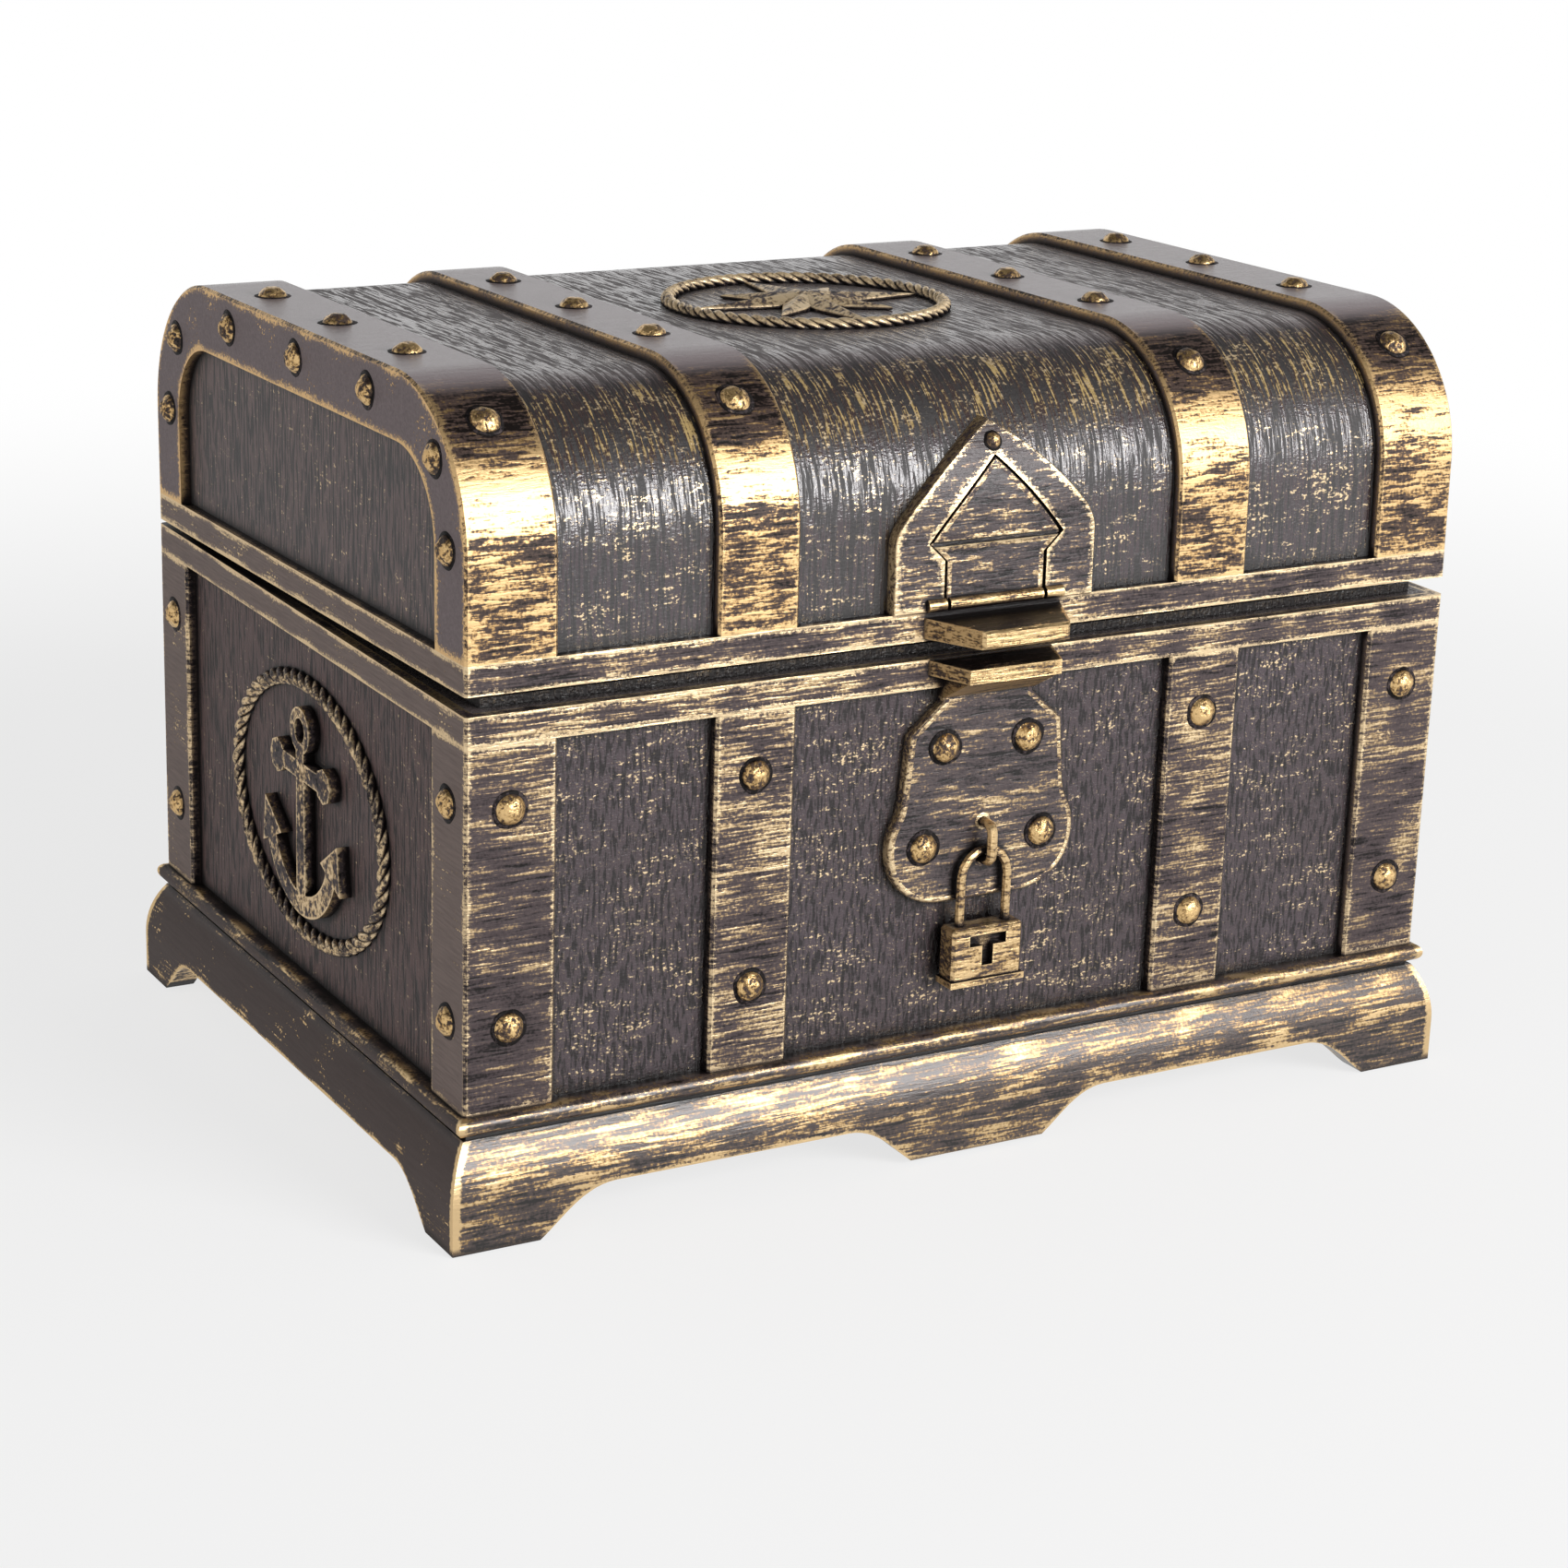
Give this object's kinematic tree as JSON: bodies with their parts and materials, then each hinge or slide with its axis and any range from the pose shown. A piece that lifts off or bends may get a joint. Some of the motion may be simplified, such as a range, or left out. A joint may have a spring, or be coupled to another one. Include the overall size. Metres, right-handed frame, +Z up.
{
  "type": "treasure chest box",
  "caption": "Small domed treasure chest with hinged lid, riveted straps, pointed clasp, lock plate with a hanging padlock and a plinth on bracket feet, in dark and gold finish.",
  "frame": {"origin": "on the floor, below the middle of the whole outline with clasp and hinges", "axes": "+X to the right along the front, -Y out of the front, +Z up"},
  "size_m": [0.2, 0.1547, 0.1409],
  "materials": {
    "shell_dark": "dark wood-grain moulding with gold specks",
    "strap_bronze": "dark with dry-brushed gold streaks",
    "plinth_gold": "gold-brushed moulding",
    "rivet_gold": "gold-painted domes",
    "clasp_bronze": "dark with worn gold edges",
    "relief_bronze": "gold-brushed relief",
    "fitting_bronze": "antique gold paint",
    "pin_steel": "plain"
  },
  "bodies": {
    "chest_body": {"body_corner_back_left": "strap_bronze", "body_corner_back_right": "strap_bronze", "body_corner_front_left": "strap_bronze", "body_corner_front_right": "strap_bronze", "body_rim_band": "strap_bronze", "body_rivets_back": "rivet_gold", "body_rivets_front": "rivet_gold", "body_rivets_left": "rivet_gold", "body_rivets_right": "rivet_gold", "body_shell": "shell_dark", "body_strap_back_left": "strap_bronze", "body_strap_back_right": "strap_bronze", "body_strap_front_left": "strap_bronze", "body_strap_front_right": "strap_bronze", "catch_ledge": "clasp_bronze", "end_anchor_left": "relief_bronze", "end_anchor_right": "relief_bronze", "end_rope_left": "relief_bronze", "end_rope_right": "relief_bronze", "hinge_leaf_body_left": "fitting_bronze", "hinge_leaf_body_right": "fitting_bronze", "hinge_pin_left": "pin_steel", "hinge_pin_right": "pin_steel", "hinge_rivets_body": "rivet_gold", "lock_plate": "clasp_bronze", "lock_plate_rivets": "rivet_gold", "lock_staple": "fitting_bronze", "plinth_back": "plinth_gold", "plinth_front": "plinth_gold", "plinth_left": "plinth_gold", "plinth_right": "plinth_gold"},
    "lid": {"hasp_arch_plate": "clasp_bronze", "hasp_inner_panel": "clasp_bronze", "hasp_knuckles": "clasp_bronze", "hasp_lip": "clasp_bronze", "hasp_rivet": "rivet_gold", "hinge_leaf_lid_left": "fitting_bronze", "hinge_leaf_lid_right": "fitting_bronze", "hinge_rivets_lid": "rivet_gold", "lid_binding_left": "strap_bronze", "lid_binding_right": "strap_bronze", "lid_compass_ring": "relief_bronze", "lid_compass_star": "relief_bronze", "lid_rim_band": "strap_bronze", "lid_rivets_end_bands": "rivet_gold", "lid_rivets_inner_straps": "rivet_gold", "lid_rivets_left_end": "rivet_gold", "lid_rivets_right_end": "rivet_gold", "lid_shell": "shell_dark", "lid_strap_left": "strap_bronze", "lid_strap_right": "strap_bronze"},
    "padlock": {"padlock_case": "fitting_bronze", "padlock_shackle": "fitting_bronze"}
  },
  "joints": [
    {"name": "lid_hinge", "type": "hinge", "parent": "chest_body", "child": "lid", "pos_m": [0, 0.07287, 0.09], "axis": [-1, 0, 0], "range_deg": [-1, 104]},
    {"name": "padlock_swing", "type": "hinge", "parent": "chest_body", "child": "padlock", "pos_m": [0, -0.06772, 0.05505], "axis": [-1, 0, 0], "range_deg": [0, 80]}
  ]
}
